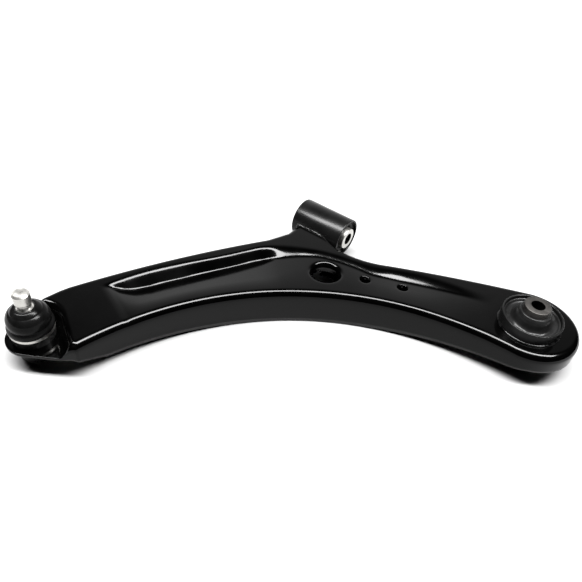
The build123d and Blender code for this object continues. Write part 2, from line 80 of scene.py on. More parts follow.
FRONT_BORE_R, FRONT_SLEEVE_R, FRONT_SLEEVE_HALF = 7.25, 13.0, 36.0
REAR_BORE_R, REAR_SLEEVE_R, REAR_SLEEVE_TOP_Z = 7.2, 13.9, 38.0
CHORD = math.hypot(*BALL)


# ---------------------------------------------------------------- small helpers
def polar(centre, radius, angle):
    a = math.radians(angle)
    return (centre[0] + radius * math.cos(a), centre[1] + radius * math.sin(a))


def gap(a, b):
    return math.hypot(a[0] - b[0], a[1] - b[1])


def towards(start, end, distance):
    share = distance / gap(start, end)
    return (start[0] + (end[0] - start[0]) * share, start[1] + (end[1] - start[1]) * share)


def arc(centre, start, end, step):
    """Points along the shorter arc about centre, without its last point."""
    radius = gap(centre, start)
    a0 = math.atan2(start[1] - centre[1], start[0] - centre[0])
    a1 = math.atan2(end[1] - centre[1], end[0] - centre[0])
    turn = (a1 - a0 + math.pi) % (2 * math.pi) - math.pi
    count = max(2, int(abs(turn) * radius / step))
    angles = a0 + turn * np.arange(count) / count
    return np.stack([centre[0] + radius * np.cos(angles), centre[1] + radius * np.sin(angles)], 1)


def centre_of(a, b, c):
    """Centre of the circle through three points."""
    rows = np.array([(b[0] - a[0], b[1] - a[1]), (c[0] - a[0], c[1] - a[1])]) * 2
    sums = np.array([b[0]**2 + b[1]**2 - a[0]**2 - a[1]**2, c[0]**2 + c[1]**2 - a[0]**2 - a[1]**2])
    return tuple(np.linalg.solve(rows, sums))


def straight(start, end, step):
    count = max(1, int(gap(start, end) / step))
    share = (np.arange(count) / count)[:, None]
    return np.array(start) * (1 - share) + np.array(end) * share


def smooth_min(a, b, k):
    h = np.clip(k - np.abs(a - b), 0, None) / k
    return np.minimum(a, b) - h * h * k / 4


def smooth_max(a, b, k):
    return -smooth_min(-a, -b, k)


def spline_at(x, xs, ys):
    """A smooth curve through a few stations, with a cubic between each two."""
    xs, ys = np.array(xs, float), np.array(ys, float)
    slope = np.gradient(ys, xs)
    x = np.clip(x, xs[0], xs[-1])
    i = np.clip(np.searchsorted(xs, x) - 1, 0, len(xs) - 2)
    h = xs[i + 1] - xs[i]
    t = (x - xs[i]) / h
    return ((2 * t**3 - 3 * t**2 + 1) * ys[i] + (t**3 - 2 * t**2 + t) * h * slope[i]
            + (3 * t**2 - 2 * t**3) * ys[i + 1] + (t**3 - t**2) * h * slope[i + 1])


def new_mesh(name, verts, faces, smooth=True):
    mesh = bpy.data.meshes.new(name)
    mesh.from_pydata([tuple(v) for v in verts], [], [tuple(f) for f in faces])
    mesh.update()
    if smooth:
        mesh.shade_smooth()
    obj = bpy.data.objects.new(name, mesh)
    bpy.context.scene.collection.objects.link(obj)
    return obj


def clean_up(obj, merge=True):
    """Joins doubled vertices, turns the faces outward and shades them smooth."""
    mesh = bmesh.new()
    mesh.from_mesh(obj.data)
    if merge:
        bmesh.ops.remove_doubles(mesh, verts=mesh.verts, dist=MERGE_DISTANCE)
    bmesh.ops.recalc_face_normals(mesh, faces=mesh.faces)
    mesh.to_mesh(obj.data)
    mesh.free()
    obj.data.shade_smooth()


# ---------------------------------------------------------------- plan outline of the pressing
EDGE_STEP = 2.0
FAR_SHOULDER = 5.0          # length of the soft corner where the far edge meets the tab


def outline_points():
    near_r = gap(NEAR_CENTRE, REAR_END) - REAR_END_R
    right_r = gap(RIGHT_CENTRE, REAR_END) + REAR_END_R
    rear_near = towards(REAR_END, NEAR_CENTRE, REAR_END_R)
    rear_far = towards(REAR_END, RIGHT_CENTRE, -REAR_END_R)
    far_start = polar(FAR_CENTRE, FAR_R, FAR_START_ANGLE)
    tab_far = polar(BALL, TAB_R, TAB_FAR_ANGLE)
    near_end = polar(NEAR_CENTRE, near_r, NEAR_END_ANGLE)
    tab_near = polar(BALL, TAB_R, TAB_NEAR_ANGLE)
    far_end = (FAR_CENTRE[0] + math.sqrt(FAR_R**2 - (EAR_FAR_END_Y - FAR_CENTRE[1]) ** 2), EAR_FAR_END_Y)
    notch = (NOTCH_X, RIGHT_CENTRE[1] - math.sqrt(right_r**2 - (NOTCH_X - RIGHT_CENTRE[0]) ** 2))
    # the first arc beside the ear is tangent to the ear's slanted edge
    edge = np.array(EAR_SHOULDER) - np.array((EAR_X0, EAR_END_Y))
    normal = np.array((-edge[1], edge[0])) / np.linalg.norm(edge)
    chord = np.array(EAR_BEND) - np.array(EAR_SHOULDER)
    notch_r = chord @ chord / (2 * (chord @ normal))
    notch_centre = tuple(np.array(EAR_SHOULDER) + normal * notch_r)
    shoulder_out = towards(far_start, tab_far, FAR_SHOULDER)
    shoulder_in = polar(FAR_CENTRE, FAR_R, FAR_START_ANGLE - math.degrees(FAR_SHOULDER / FAR_R))
    mid_tab = polar(BALL, TAB_R, TAB_MID_ANGLE)
    mid_rear = polar(REAR_END, REAR_END_R, REAR_MID_ANGLE)
    corner_in = towards(WALL_CORNER, near_end, WALL_CORNER_R * WALL_CORNER_SHARE)
    corner_out = towards(WALL_CORNER, tab_near, WALL_CORNER_R * WALL_CORNER_SHARE)
    runs = [
        arc(NEAR_CENTRE, rear_near, near_end, EDGE_STEP),
        straight(near_end, corner_in, EDGE_STEP),
        straight(corner_in, corner_out, EDGE_STEP),
        straight(corner_out, tab_near, EDGE_STEP),
        arc(BALL, tab_near, mid_tab, EDGE_STEP),
        arc(BALL, mid_tab, tab_far, EDGE_STEP),
        straight(tab_far, shoulder_out, EDGE_STEP),
        straight(shoulder_out, shoulder_in, EDGE_STEP),
        arc(FAR_CENTRE, shoulder_in, far_end, EDGE_STEP),
        straight(far_end, (EAR_X1, EAR_FAR_Y), EDGE_STEP),
        straight((EAR_X1, EAR_FAR_Y), (EAR_X1, EAR_END_Y), EDGE_STEP),
        straight((EAR_X1, EAR_END_Y), (EAR_X0, EAR_END_Y), EDGE_STEP),
        straight((EAR_X0, EAR_END_Y), EAR_SHOULDER, EDGE_STEP),
        arc(notch_centre, EAR_SHOULDER, EAR_BEND, EDGE_STEP),
        arc(centre_of(EAR_BEND, EAR_BEND_MID, notch), EAR_BEND, notch, EDGE_STEP),
        arc(RIGHT_CENTRE, notch, rear_far, EDGE_STEP),
        arc(REAR_END, rear_far, mid_rear, EDGE_STEP),
        arc(REAR_END, mid_rear, rear_near, EDGE_STEP),
    ]
    return np.concatenate(runs)


def inward_normals(loop):
    ahead = np.roll(loop, -1, 0) - np.roll(loop, 1, 0)
    ahead /= np.linalg.norm(ahead, axis=1)[:, None]
    area = np.sum(loop[:, 0] * np.roll(loop[:, 1], -1) - loop[:, 1] * np.roll(loop[:, 0], -1))
    side = 1 if area > 0 else -1
    return side * np.stack([-ahead[:, 1], ahead[:, 0]], 1)


# ---------------------------------------------------------------- height of the pressed sheet
DISH_NEAR_R = 350.5
DISH_STATIONS = (                         # angle about NEAR_CENTRE, radius of step top, of toe, depth
    (-90.0, 391.0, 388.0, 0.0),
    (-84.0, 391.0, 388.0, 0.0),
    (-81.0, 391.5, 387.0, 1.4),
    (-77.0, 393.0, 385.6, 2.9),
    (-74.5, 394.0, 384.4, 3.9),
    (-72.0, 394.4, 383.4, 4.7),
    (-69.6, 394.0, 382.6, 5.0),
    (-67.8, 393.0, 382.4, 5.0),
    (-66.2, 391.8, 382.4, 4.6),
    (-64.5, 391.0, 381.8, 4.2),
    (-62.7, 391.4, 383.0, 3.8),
    (-60.5, 395.0, 388.6, 3.3),
    (-57.0, 403.2, 397.0, 3.2),
    (-54.0, 408.8, 402.4, 3.3),
    (-51.5, 411.5, 403.2, 4.1),
    (-49.3, 413.6, 402.4, 5.0),
    (-47.4, 415.0, 402.0, 6.4),
    (-45.8, 416.0, 404.4, 9.0),
    (-44.2, 415.0, 403.8, 10.6),
    (-41.5, 410.0, 399.4, 11.0),
    (-38.6, 405.6, 395.0, 11.0),
    (-36.0, 403.2, 392.4, 11.0),
    (-33.0, 402.4, 390.2, 11.0),
    (-30.2, 402.2, 388.7, 11.0),
    (-27.5, 402.2, 388.5, 11.0),
    (-24.4, 401.8, 388.8, 10.8),
    (-22.4, 401.3, 389.8, 9.6),
    (-20.8, 400.4, 393.0, 6.8),
    (-19.3, 399.5, 396.8, 2.4),
    (-18.2, 399.0, 397.8, 0.0),
)
STEP_ROLL, TOE_ROLL = 2.6, 0.9
STEP_TOE_R, STEP_TOP_R = 22.5, 29.0
STEP_SIDES = (65.0, 152.8)
TOE_SOFT, TOP_SOFT = 0.5, 0.7
STEP_LEAST = 0.5            # the dish's step is at least this wide


def dish_depth(x, y):
    dx, dy = x - NEAR_CENTRE[0], y - NEAR_CENTRE[1]
    radius = np.hypot(dx, dy)
    angle = np.degrees(np.arctan2(dy, dx))
    angles, step_rs, toe_rs, depths = np.array(DISH_STATIONS).T
    inside = (angle > angles[0]) & (angle < angles[-1])
    angle = np.clip(angle, angles[0], angles[-1])
    depth = np.clip(spline_at(angle, angles, depths), 0, None)
    toe = spline_at(angle, angles, toe_rs)
    step = np.maximum(spline_at(angle, angles, step_rs), toe + STEP_LEAST)
    web = depth * (radius - DISH_NEAR_R) / (toe - DISH_NEAR_R)
    rise = depth * (step - radius) / (step - toe)
    sunk = smooth_max(smooth_min(web, rise, TOE_ROLL), 0 * web, STEP_ROLL)
    return np.where(inside, sunk * np.clip(depth / STEP_ROLL, 0, 1), 0)


def recess_share(x, y):
    """0 on the tab, 1 on the top face, with a soft step between them."""
    east, north = x - BALL[0], y - BALL[1]
    away = np.hypot(east, north)
    for side, sign in zip(STEP_SIDES, (1, -1)):
        ahead = (math.cos(math.radians(side)), math.sin(math.radians(side)))
        along = east * ahead[0] + north * ahead[1]
        outward = sign * (east * ahead[1] - north * ahead[0])
        away = np.where(along > 0, np.minimum(away, np.clip(outward, 0, None)), away)
    share = (away - STEP_TOE_R) / (STEP_TOP_R - STEP_TOE_R)
    return smooth_min(smooth_max(share, 0 * share, TOE_SOFT), 0 * share + 1, TOP_SOFT)


def sheet_z(x, y):
    """Top surface of the pressing before its edges fold down."""
    share = recess_share(x, y)
    upper = TOP_Z - dish_depth(x, y)
    return TAB_Z + (upper - TAB_Z) * share


def edge_z(x, y):
    """Height of the walls' lower edge."""
    s = (x * BALL[0] + y * BALL[1]) / CHORD
    t = np.clip((FLAT_START - s) / (FLAT_START - REAR_EDGE_END), 0, 1)
    rear = REST_Z + (REAR_EDGE_Z - REST_Z) * t * t
    t = np.clip((s - FLAT_END) / (TAB_EDGE_START - FLAT_END), 0, 1)
    front = REST_Z + (TAB_EDGE_Z - REST_Z) * t * t
    t = np.clip((s - TAB_EDGE_START) / (TAB_EDGE_END - TAB_EDGE_START), 0, 1)
    tab = TAB_EDGE_Z + (TAB_Z - SHEET - TAB_EDGE_Z) * t
    arch = np.where(s < FLAT_END, rear, np.where(s < TAB_EDGE_START, front, tab))
    undercut = REST_Z + UNDERCUT_RISE * np.clip((UNDERCUT_Y - y) / (UNDERCUT_Y - TUBE_R), 0, 1)
    return np.where((x >= UNDERCUT_X) & (y < UNDERCUT_Y), np.maximum(arch, undercut), arch)


# ---------------------------------------------------------------- the pressed shell as one smooth mesh
GRID_STEP = 2.0
FOLD_RINGS = 10
HOLE_RINGS = 10
NEAR_FOLD_R = 8.5           # the fold is a little wider along the hollow side
INNER_SIDE = (0.55, -0.83)  # inward direction on that side
WALL_ROWS = 6
WALL_LEAST = 0.5            # lowest wall height
FOLD_SHARE, FOLD_LEAST = 0.5, 0.7   # fold radius as a share of the wall's height, and the smallest one
FLAT_MARGIN = 1.0           # from the fold to the last ring of points round it
RING_SLACK = 0.12
GRID_ROW, GRID_CLEAR = 0.866, 0.6
HOLE_STEP, CIRCLE_LEAST = 1.2, 24
RIM_TOLERANCE = 1e-3
CDT_TOLERANCE = 1e-5
BIG_HOLE_ROLL, CUT_ROLL, SMALL_HOLE_ROLL = 5.0, 0.4, 1.2
TUBE_SINK = 0.4             # the ear's end stays this far under the tube's surface


def distance_to_loop(points, loop):
    best = np.full(len(points), 1e9)
    ends = np.roll(loop, -1, 0)
    for a, b in zip(loop, ends):
        ab = b - a
        t = np.clip(((points - a) @ ab) / (ab @ ab), 0, 1)
        best = np.minimum(best, np.linalg.norm(points - a - t[:, None] * ab, axis=1))
    return best


def inside_loop(points, loop):
    inside = np.zeros(len(points), bool)
    ends = np.roll(loop, -1, 0)
    x, y = points[:, 0], points[:, 1]
    for (x0, y0), (x1, y1) in zip(loop, ends):
        if y0 == y1:
            continue
        crosses = ((y0 > y) != (y1 > y)) & (x < (x1 - x0) * (y - y0) / (y1 - y0) + x0)
        inside ^= crosses
    return inside


def circle(centre, radius):
    count = max(CIRCLE_LEAST, int(2 * math.pi * radius / HOLE_STEP))
    a = 2 * math.pi * np.arange(count) / count
    return np.stack([centre[0] + radius * np.cos(a), centre[1] + radius * np.sin(a)], 1)


# centre, radius, roll and lower edge of each hole
holes = [(BIG_HOLE, BIG_HOLE_R, BIG_HOLE_ROLL, BIG_HOLE_LIP_Z), ((0.0, 0.0), CUP_R, CUT_ROLL, TOP_Z - SHEET),
         (BALL, HOUSING_BODY_R, CUT_ROLL, TAB_Z - SHEET)]
holes += [(centre, SMALL_HOLE_R, SMALL_HOLE_ROLL, None) for centre in SMALL_HOLES]


def fold_radius(loop, normals):
    """Fold radius at each outline point: full on the walls, almost none on the tab's cut edge."""
    probe = loop + normals * FOLD_R
    top = sheet_z(probe[:, 0], probe[:, 1])
    height = top - edge_z(loop[:, 0], loop[:, 1])
    inner_side = np.clip(normals @ np.array(INNER_SIDE), 0, 1)
    full = FOLD_R + (NEAR_FOLD_R - FOLD_R) * inner_side
    return np.clip((height - SHEET) * FOLD_SHARE, FOLD_LEAST, full), top


def fold_points(loop, normals, radius):
    """Rings of points over the fold. Those that cross over in tight corners are dropped."""
    shares = [1 - math.cos(math.pi / 2 * ring / FOLD_RINGS) for ring in range(1, FOLD_RINGS + 1)]
    reaches = [radius * share for share in shares] + [radius + FLAT_MARGIN]
    rings = np.concatenate([loop + normals * reach[:, None] for reach in reaches])
    clear = distance_to_loop(rings, loop) > np.concatenate(reaches) - RING_SLACK
    return rings[clear & inside_loop(rings, loop)]


def hole_points():
    rings = []
    for centre, r, roll, _ in holes:
        for k in range(HOLE_RINGS):
            grow = roll * (1 - math.cos(math.pi / 2 * k / (HOLE_RINGS - 1)))
            rings.append(circle(centre, r + grow))
    return np.concatenate(rings)


def grid_points(loop):
    """A triangular grid clear of the fold and the holes."""
    lo, hi = loop.min(0), loop.max(0)
    gx, gy = np.meshgrid(np.arange(lo[0], hi[0], GRID_STEP), np.arange(lo[1], hi[1], GRID_STEP * GRID_ROW))
    gx = gx + (np.arange(gx.shape[0]) % 2)[:, None] * GRID_STEP / 2
    grid = np.stack([gx.ravel(), gy.ravel()], 1)
    grid = grid[inside_loop(grid, loop)]
    grid = grid[distance_to_loop(grid, loop) > NEAR_FOLD_R + GRID_STEP * GRID_CLEAR]
    for centre, r, roll, _ in holes:
        grid = grid[np.hypot(grid[:, 0] - centre[0], grid[:, 1] - centre[1]) > r + roll + HOLE_STEP]
    return grid


def triangulated(flat, loop):
    """The plan points after triangulation, and the triangles inside the outline and outside the holes."""
    count = len(loop)
    edges = [(i, (i + 1) % count) for i in range(count)]
    verts2, _, faces, _, _, _ = delaunay_2d_cdt([Vector(p) for p in flat], edges, [], 1, CDT_TOLERANCE)
    plan = np.array([tuple(v) for v in verts2])
    faces = np.array([f for f in faces if len(f) == 3])
    centres = plan[faces].mean(1)
    keep = inside_loop(centres, loop)
    for centre, r, _, _ in holes:
        keep &= np.hypot(centres[:, 0] - centre[0], centres[:, 1] - centre[1]) > r
    return plan, [tuple(int(i) for i in f) for f in faces[keep]]


def pressed_heights(plan, loop, radius, loop_top):
    """Height of every plan point, with the fold at the outline and the roll into each hole."""
    distance = distance_to_loop(plan, loop)
    nearest = np.argmin(np.linalg.norm(plan[:, None, :] - loop[None, :, :], axis=2), axis=1)
    fold = radius[nearest]
    short = np.clip(1 - distance / fold, 0, 1)
    drop = fold * (1 - np.sqrt(1 - short**2))
    edge_share = np.clip(distance / NEAR_FOLD_R, 0, 1)
    z = sheet_z(plan[:, 0], plan[:, 1]) * edge_share + loop_top[nearest] * (1 - edge_share) - drop
    for centre, r, roll, _ in holes:
        away = np.hypot(plan[:, 0] - centre[0], plan[:, 1] - centre[1]) - r
        short = np.clip(1 - away / roll, 0, 1)
        z = z - roll * (1 - np.sqrt(1 - short**2))
    return z


def add_walls(verts, faces, plan, loop):
    """Walls from the outline down to their lower edge."""
    order = [int(np.argmin(np.linalg.norm(plan - p, axis=1))) for p in loop]
    floor_z = edge_z(loop[:, 0], loop[:, 1])
    count = len(loop)
    previous = order
    for row in range(1, WALL_ROWS + 1):
        share = row / WALL_ROWS
        current = []
        for i, top_vertex in enumerate(order):
            x, y, h = verts[top_vertex]
            current.append(len(verts))
            verts.append((x, y, h + (min(floor_z[i], h - WALL_LEAST) - h) * share))
        for i in range(count):
            j = (i + 1) % count
            faces.append((previous[j], previous[i], current[i], current[j]))
        previous = current


def add_rims(verts, faces, plan):
    """Turned-down rims of the holes."""
    for centre, r, _, low in holes:
        off = [abs(math.hypot(x - centre[0], y - centre[1]) - r) for x, y in plan]
        ring = [i for i, distance in enumerate(off) if distance < RIM_TOLERANCE]
        ring.sort(key=lambda i: math.atan2(plan[i][1] - centre[1], plan[i][0] - centre[0]))
        depth = low if low is not None else min(verts[i][2] for i in ring) - SHEET
        base = len(verts)
        for i in ring:
            verts.append((verts[i][0], verts[i][1], depth))
        for k in range(len(ring)):
            j = (k + 1) % len(ring)
            faces.append((ring[k], ring[j], base + j, base + k))


def clear_of_tube(x, y, z):
    """Where the ear meets the tube, a point inside the tube goes to just under its surface."""
    height = abs(z - FRONT_Z)
    inner = TUBE_R - TUBE_SINK
    if abs(x - FRONT_X) < TUBE_LEN / 2 and height < TUBE_R:
        y = max(y, math.sqrt(inner**2 - height**2) if height < inner else 0)
    return (x * MM, y * MM, z * MM)


def build_shell():
    loop = outline_points()
    normals = inward_normals(loop)
    radius, loop_top = fold_radius(loop, normals)
    flat = np.concatenate([loop, fold_points(loop, normals, radius), hole_points(), grid_points(loop)])
    plan, faces = triangulated(flat, loop)
    verts = [(x, y, h) for (x, y), h in zip(plan, pressed_heights(plan, loop, radius, loop_top))]
    add_walls(verts, faces, plan, loop)
    add_rims(verts, faces, plan)
    pressing = new_mesh("arm_shell", [clear_of_tube(*v) for v in verts], faces)
    clean_up(pressing)
    return pressing


shell = build_shell()
thick = shell.modifiers.new("sheet", "SOLIDIFY")
thick.thickness = SHEET * MM
thick.offset = -1.0
thick.use_even_offset = False
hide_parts("upper_shell")
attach(shell, "arm")


# ---------------------------------------------------------------- turned pieces
TURN_STEPS = 96
SHARP_ANGLE = math.radians(38)


def rounded(profile, radius, steps=4):
    """The profile with each inner corner replaced by a small curve."""
    points = [np.array(p, float) for p in profile]
    out = [points[0]]
    for before, corner, after in zip(points, points[1:], points[2:]):
        reach = min(radius, np.linalg.norm(before - corner) * 0.45, np.linalg.norm(after - corner) * 0.45)
        start = corner + (before - corner) / np.linalg.norm(before - corner) * reach
        end = corner + (after - corner) / np.linalg.norm(after - corner) * reach
        for k in range(steps + 1):
            t = k / steps
            out.append(start * (1 - t) ** 2 + 2 * corner * t * (1 - t) + end * t * t)
    return out + [points[-1]]


def curved(profile, per_gap=5):
    """A smooth curve through all the profile's points."""
    points = np.array(profile, float)
    knots = np.concatenate([[0], np.cumsum(np.linalg.norm(np.diff(points, axis=0), axis=1))])
    fine = np.concatenate([np.linspace(a, b, per_gap, endpoint=False) for a, b in zip(knots, knots[1:])]
                          + [[knots[-1]]])
    return np.stack([spline_at(fine, knots, points[:, 0]), spline_at(fine, knots, points[:, 1])], 1)


def turned(name, profile, centre, along_x=False, wobble=None):
    """A surface turned about a vertical axis, or one along X; profile points are (radius, along the axis)."""
    verts, faces = [], []
    rows = len(profile)
    for k in range(TURN_STEPS):
        a = 2 * math.pi * k / TURN_STEPS
        for i, (r, h) in enumerate(profile):
            extra_r, extra_h = wobble(a, r, h) if wobble else (0, 0)
            r, h = r + extra_r, h + extra_h
            if along_x:
                verts.append(((centre[0] + h) * MM, (centre[1] + r * math.cos(a)) * MM,
                              (centre[2] + r * math.sin(a)) * MM))
            else:
                verts.append(((centre[0] + r * math.cos(a)) * MM, (centre[1] + r * math.sin(a)) * MM,
                              (centre[2] + h) * MM))
    for k in range(TURN_STEPS):
        n = (k + 1) % TURN_STEPS
        for i in range(rows - 1):
            faces.append((k * rows + i, n * rows + i, n * rows + i + 1, k * rows + i + 1))
    obj = new_mesh(name, verts, faces)
    clean_up(obj)
    obj.data.set_sharp_from_angle(angle=SHARP_ANGLE)
    return obj


def paint(obj, material):
    obj.data.materials.clear()
    obj.data.materials.append(material)


def stands_for(obj, node, body, slot):
    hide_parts(node)
    if body:
        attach(obj, body)
    paint(obj, FINISH[slot])


# ---------------------------------------------------------------- materials
PAINT_BUMP, STEEL_BUMP, RUBBER_BUMP = 0.0004, 0.0003, 0.0004   # metres
BORE_SHADE_SOFT = 0.25            # mm over which the painted shade inside a bore fades out
WORN_REACH = 0.03


def grey(value):
    return (value, value, value)


# lighter grey of paint worn off the edges, and a dark grey painted inside bores as painted shade
WORN_GREY, BORE_SHADE_GREY = grey(0.02), grey(0.006)


def node_material(name):
    material = bpy.data.materials.new(name)
    material.use_nodes = True
    tree = material.node_tree
    return material, tree, tree.nodes["Principled BSDF"]


def noise(tree, scale, detail=4.0, rough=0.55):
    coordinates = tree.nodes.new("ShaderNodeTexCoord")
    texture = tree.nodes.new("ShaderNodeTexNoise")
    texture.inputs["Scale"].default_value = scale
    texture.inputs["Detail"].default_value = detail
    texture.inputs["Roughness"].default_value = rough
    tree.links.new(coordinates.outputs["Object"], texture.inputs["Vector"])
    return texture.outputs["Fac"]


def ramp(tree, source, low, high, start=0.3, end=0.7):
    """Maps a value between start and end to low..high."""
    node = tree.nodes.new("ShaderNodeMapRange")
    node.inputs["From Min"].default_value = start
    node.inputs["From Max"].default_value = end
    node.inputs["To Min"].default_value = low
    node.inputs["To Max"].default_value = high
    tree.links.new(source, node.inputs["Value"])
    return node.outputs["Result"]


def mix_colour(tree, share, first, second):
    node = tree.nodes.new("ShaderNodeMix")
    node.data_type = "RGBA"
    node.inputs["A"].default_value = (*first, 1)
    node.inputs["B"].default_value = (*second, 1)
    tree.links.new(share, node.inputs["Factor"])
    return node.outputs["Result"]


def bump(tree, shader, height, strength, distance):
    node = tree.nodes.new("ShaderNodeBump")
    node.inputs["Strength"].default_value = strength
    node.inputs["Distance"].default_value = distance
    tree.links.new(height, node.inputs["Height"])
    tree.links.new(node.outputs["Normal"], shader.inputs["Normal"])


def inside_radius(tree, centre, axis, radius):
    """1 inside a bore of that radius about an axis through centre, 0 outside: the mask for the painted shade
    inside bores.
    """
    coordinates = tree.nodes.new("ShaderNodeTexCoord")
    shifted = tree.nodes.new("ShaderNodeVectorMath")
    shifted.operation = "SUBTRACT"
    shifted.inputs[1].default_value = tuple(c * MM for c in centre)
    tree.links.new(coordinates.outputs["Object"], shifted.inputs[0])
    flat = tree.nodes.new("ShaderNodeVectorMath")
    flat.operation = "MULTIPLY"
    flat.inputs[1].default_value = tuple(1 - a for a in axis)
    tree.links.new(shifted.outputs["Vector"], flat.inputs[0])
    reach = tree.nodes.new("ShaderNodeVectorMath")
    reach.operation = "LENGTH"
    tree.links.new(flat.outputs["Vector"], reach.inputs[0])
    return ramp(tree, reach.outputs["Value"], 1.0, 0.0, radius * MM, (radius + BORE_SHADE_SOFT) * MM)


def worn_edges(tree, reach):
    """1 along convex edges, broken up by noise."""
    geometry = tree.nodes.new("ShaderNodeNewGeometry")
    edge = ramp(tree, geometry.outputs["Pointiness"], 0, 1, 0.5 + reach, 0.5 + reach * 3)
    patches = ramp(tree, noise(tree, 90.0), 0, 1, 0.45, 0.75)
    both = tree.nodes.new("ShaderNodeMath")
    both.operation = "MULTIPLY"
    tree.links.new(edge, both.inputs[0])
    tree.links.new(patches, both.inputs[1])
    return both.outputs["Value"]


def shade(tree, share, under, over):
    """Blends a colour output towards a fixed colour by share."""
    node = tree.nodes.new("ShaderNodeMix")
    node.data_type = "RGBA"
    node.inputs["B"].default_value = (*over, 1)
    tree.links.new(under, node.inputs["A"])
    tree.links.new(share, node.inputs["Factor"])
    return node.outputs["Result"]


def painted(name, dark, pale, rough_low, rough_high, bump_strength, specular):
    material, tree, shader = node_material(name)
    patches = noise(tree, 28.0)
    fine = noise(tree, 420.0, 2.0)
    paint_colour = mix_colour(tree, ramp(tree, patches, 0, 1), dark, pale)
    worn = shade(tree, worn_edges(tree, WORN_REACH), paint_colour, WORN_GREY)
    tree.links.new(worn, shader.inputs["Base Color"])
    tree.links.new(ramp(tree, patches, rough_low, rough_high), shader.inputs["Roughness"])
    shader.inputs["Specular IOR Level"].default_value = specular
    bump(tree, shader, fine, bump_strength, PAINT_BUMP)
    return material


def steel(name, colour, rough_low, rough_high, metallic=1.0, bore=None):
    material, tree, shader = node_material(name)
    patches = noise(tree, 120.0)
    fine = noise(tree, 900.0, 2.0)
    darker = tuple(c * 0.7 for c in colour)
    finish = mix_colour(tree, ramp(tree, patches, 0, 1), darker, colour)
    # the inside of a bore is painted a darker grey: painted shade, not a colour the steel has
    if bore:
        finish = shade(tree, inside_radius(tree, *bore), finish, BORE_SHADE_GREY)
    tree.links.new(finish, shader.inputs["Base Color"])
    tree.links.new(ramp(tree, patches, rough_low, rough_high), shader.inputs["Roughness"])
    shader.inputs["Metallic"].default_value = metallic
    bump(tree, shader, fine, 0.15, STEEL_BUMP)
    return material


def rubber(name, dark, pale, rough_low, rough_high, specular):
    material, tree, shader = node_material(name)
    patches = noise(tree, 60.0)
    fine = noise(tree, 700.0, 3.0)
    tree.links.new(mix_colour(tree, ramp(tree, patches, 0, 1), dark, pale), shader.inputs["Base Color"])
    tree.links.new(ramp(tree, patches, rough_low, rough_high), shader.inputs["Roughness"])
    shader.inputs["Specular IOR Level"].default_value = specular
    bump(tree, shader, fine, 0.2, RUBBER_BUMP)
    return material


gloss_black = painted("gloss_black", grey(0.0001), grey(0.0003), 0.1, 0.14, 0.04, 0.125)
tube_black = painted("tube_black", grey(0.001), grey(0.003), 0.24, 0.3, 0.1, 0.12)
satin_black = painted("satin_black", grey(0.002), grey(0.004), 0.22, 0.32, 0.12, 0.12)
bush_black = rubber("bush_black", grey(0.002), grey(0.005), 0.26, 0.38, 0.15)
boot_black = rubber("boot_black", grey(0.001), grey(0.003), 0.18, 0.26, 0.07)
zinc = steel("zinc", (0.62, 0.61, 0.58), 0.25, 0.4)
# both sleeves get painted shade inside their bores
front_steel = steel("front_steel", (0.62, 0.61, 0.58), 0.3, 0.42,
                    bore=((FRONT_X, 0, FRONT_Z), (1, 0, 0), FRONT_BORE_R))
grey_steel = steel("grey_steel", (0.042, 0.04, 0.038), 0.42, 0.56, bore=((0, 0, 0), (0, 0, 1), REAR_BORE_R))
seat_white = rubber("seat_white", (0.6, 0.59, 0.55), (0.7, 0.69, 0.65), 0.4, 0.5, 0.5)

FINISH = {
    "arm_paint": gloss_black,
    "bush_rubber": bush_black,
    "boot_rubber": boot_black,
    "bright_steel": zinc,
    "sleeve_steel": grey_steel,
    "cup_steel": satin_black,
    "housing_steel": satin_black,
    "seat_plastic": seat_white,
}


# the dust boot: a full barrel over the ring, a groove, and a domed top with one soft fold
BOOT_OUTER = [(19.9, 5.0), (21.3, 5.3), (22.3, 6.6), (22.6, 8.4), (22.2, 10.4), (21.2, 12.2), (20.7, 13.1),
              (20.9, 14.2), (21.1, 17.0), (20.6, 20.4), (19.4, 23.4), (17.6, 26.0), (16.1, 27.3),
              (15.3, 27.8), (14.7, 28.6), (12.9, 30.3), (11.0, 31.4), (9.5, 31.5)]
BOOT_INNER = [(9.3, 30.2), (11.0, 29.4), (14.0, 26.4), (17.0, 22.6), (18.4, 17.0), (18.6, 12.0),
              (18.4, 6.5), (19.9, 5.0)]
boot = turned("dust_boot_skin", list(curved(BOOT_OUTER)) + list(curved(BOOT_INNER)), (*BALL, 0))
stands_for(boot, "dust_boot", None, "boot_rubber")
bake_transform(boot)

# the rear bush's rubber: a dished face with moulded hollows, rising to the hub round the sleeve
RUBBER_FACE = [(30.0, 14.0), (30.0, 19.6), (29.5, 20.4), (28.6, 20.2), (27.0, 18.2), (24.0, 17.4),
               (21.8, 17.9), (20.2, 19.6), (19.2, 22.4), (18.2, 25.2), (17.0, 27.4), (16.4, 29.4),
               (15.9, 30.6), (14.0, 31.0)]
MOULD_MARKS = ((100.0, 0.7), (68.0, 0.9), (135.0, 0.5), (215.0, 0.7), (255.0, 0.7), (300.0, 0.6), (20.0, 0.6))
MARK_SPREAD, MARK_RADIUS, MARK_REACH = 7.0, 24.5, 2.4   # degrees, mm, mm


def mould_marks(angle, radius, height):
    """Shallow hollows left by the mould in the rubber's face."""
    sink = 0.0
    for mark, depth in MOULD_MARKS:
        off = (math.degrees(angle) - mark + 180) % 360 - 180
        sink -= depth * math.exp(-((off / MARK_SPREAD) ** 2) - ((radius - MARK_RADIUS) / MARK_REACH) ** 2)
    return 0.0, sink


rubber_top = turned("rear_rubber_top", curved(RUBBER_FACE), (0, 0, 0), wobble=mould_marks)
rubber_under = turned("rear_rubber_under", [(r, -h) for r, h in curved(RUBBER_FACE)], (0, 0, 0))
for half, side in ((rubber_top, 1), (rubber_under, -1)):
    stands_for(half, "rear_rubber", None, "bush_rubber")
    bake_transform(half)

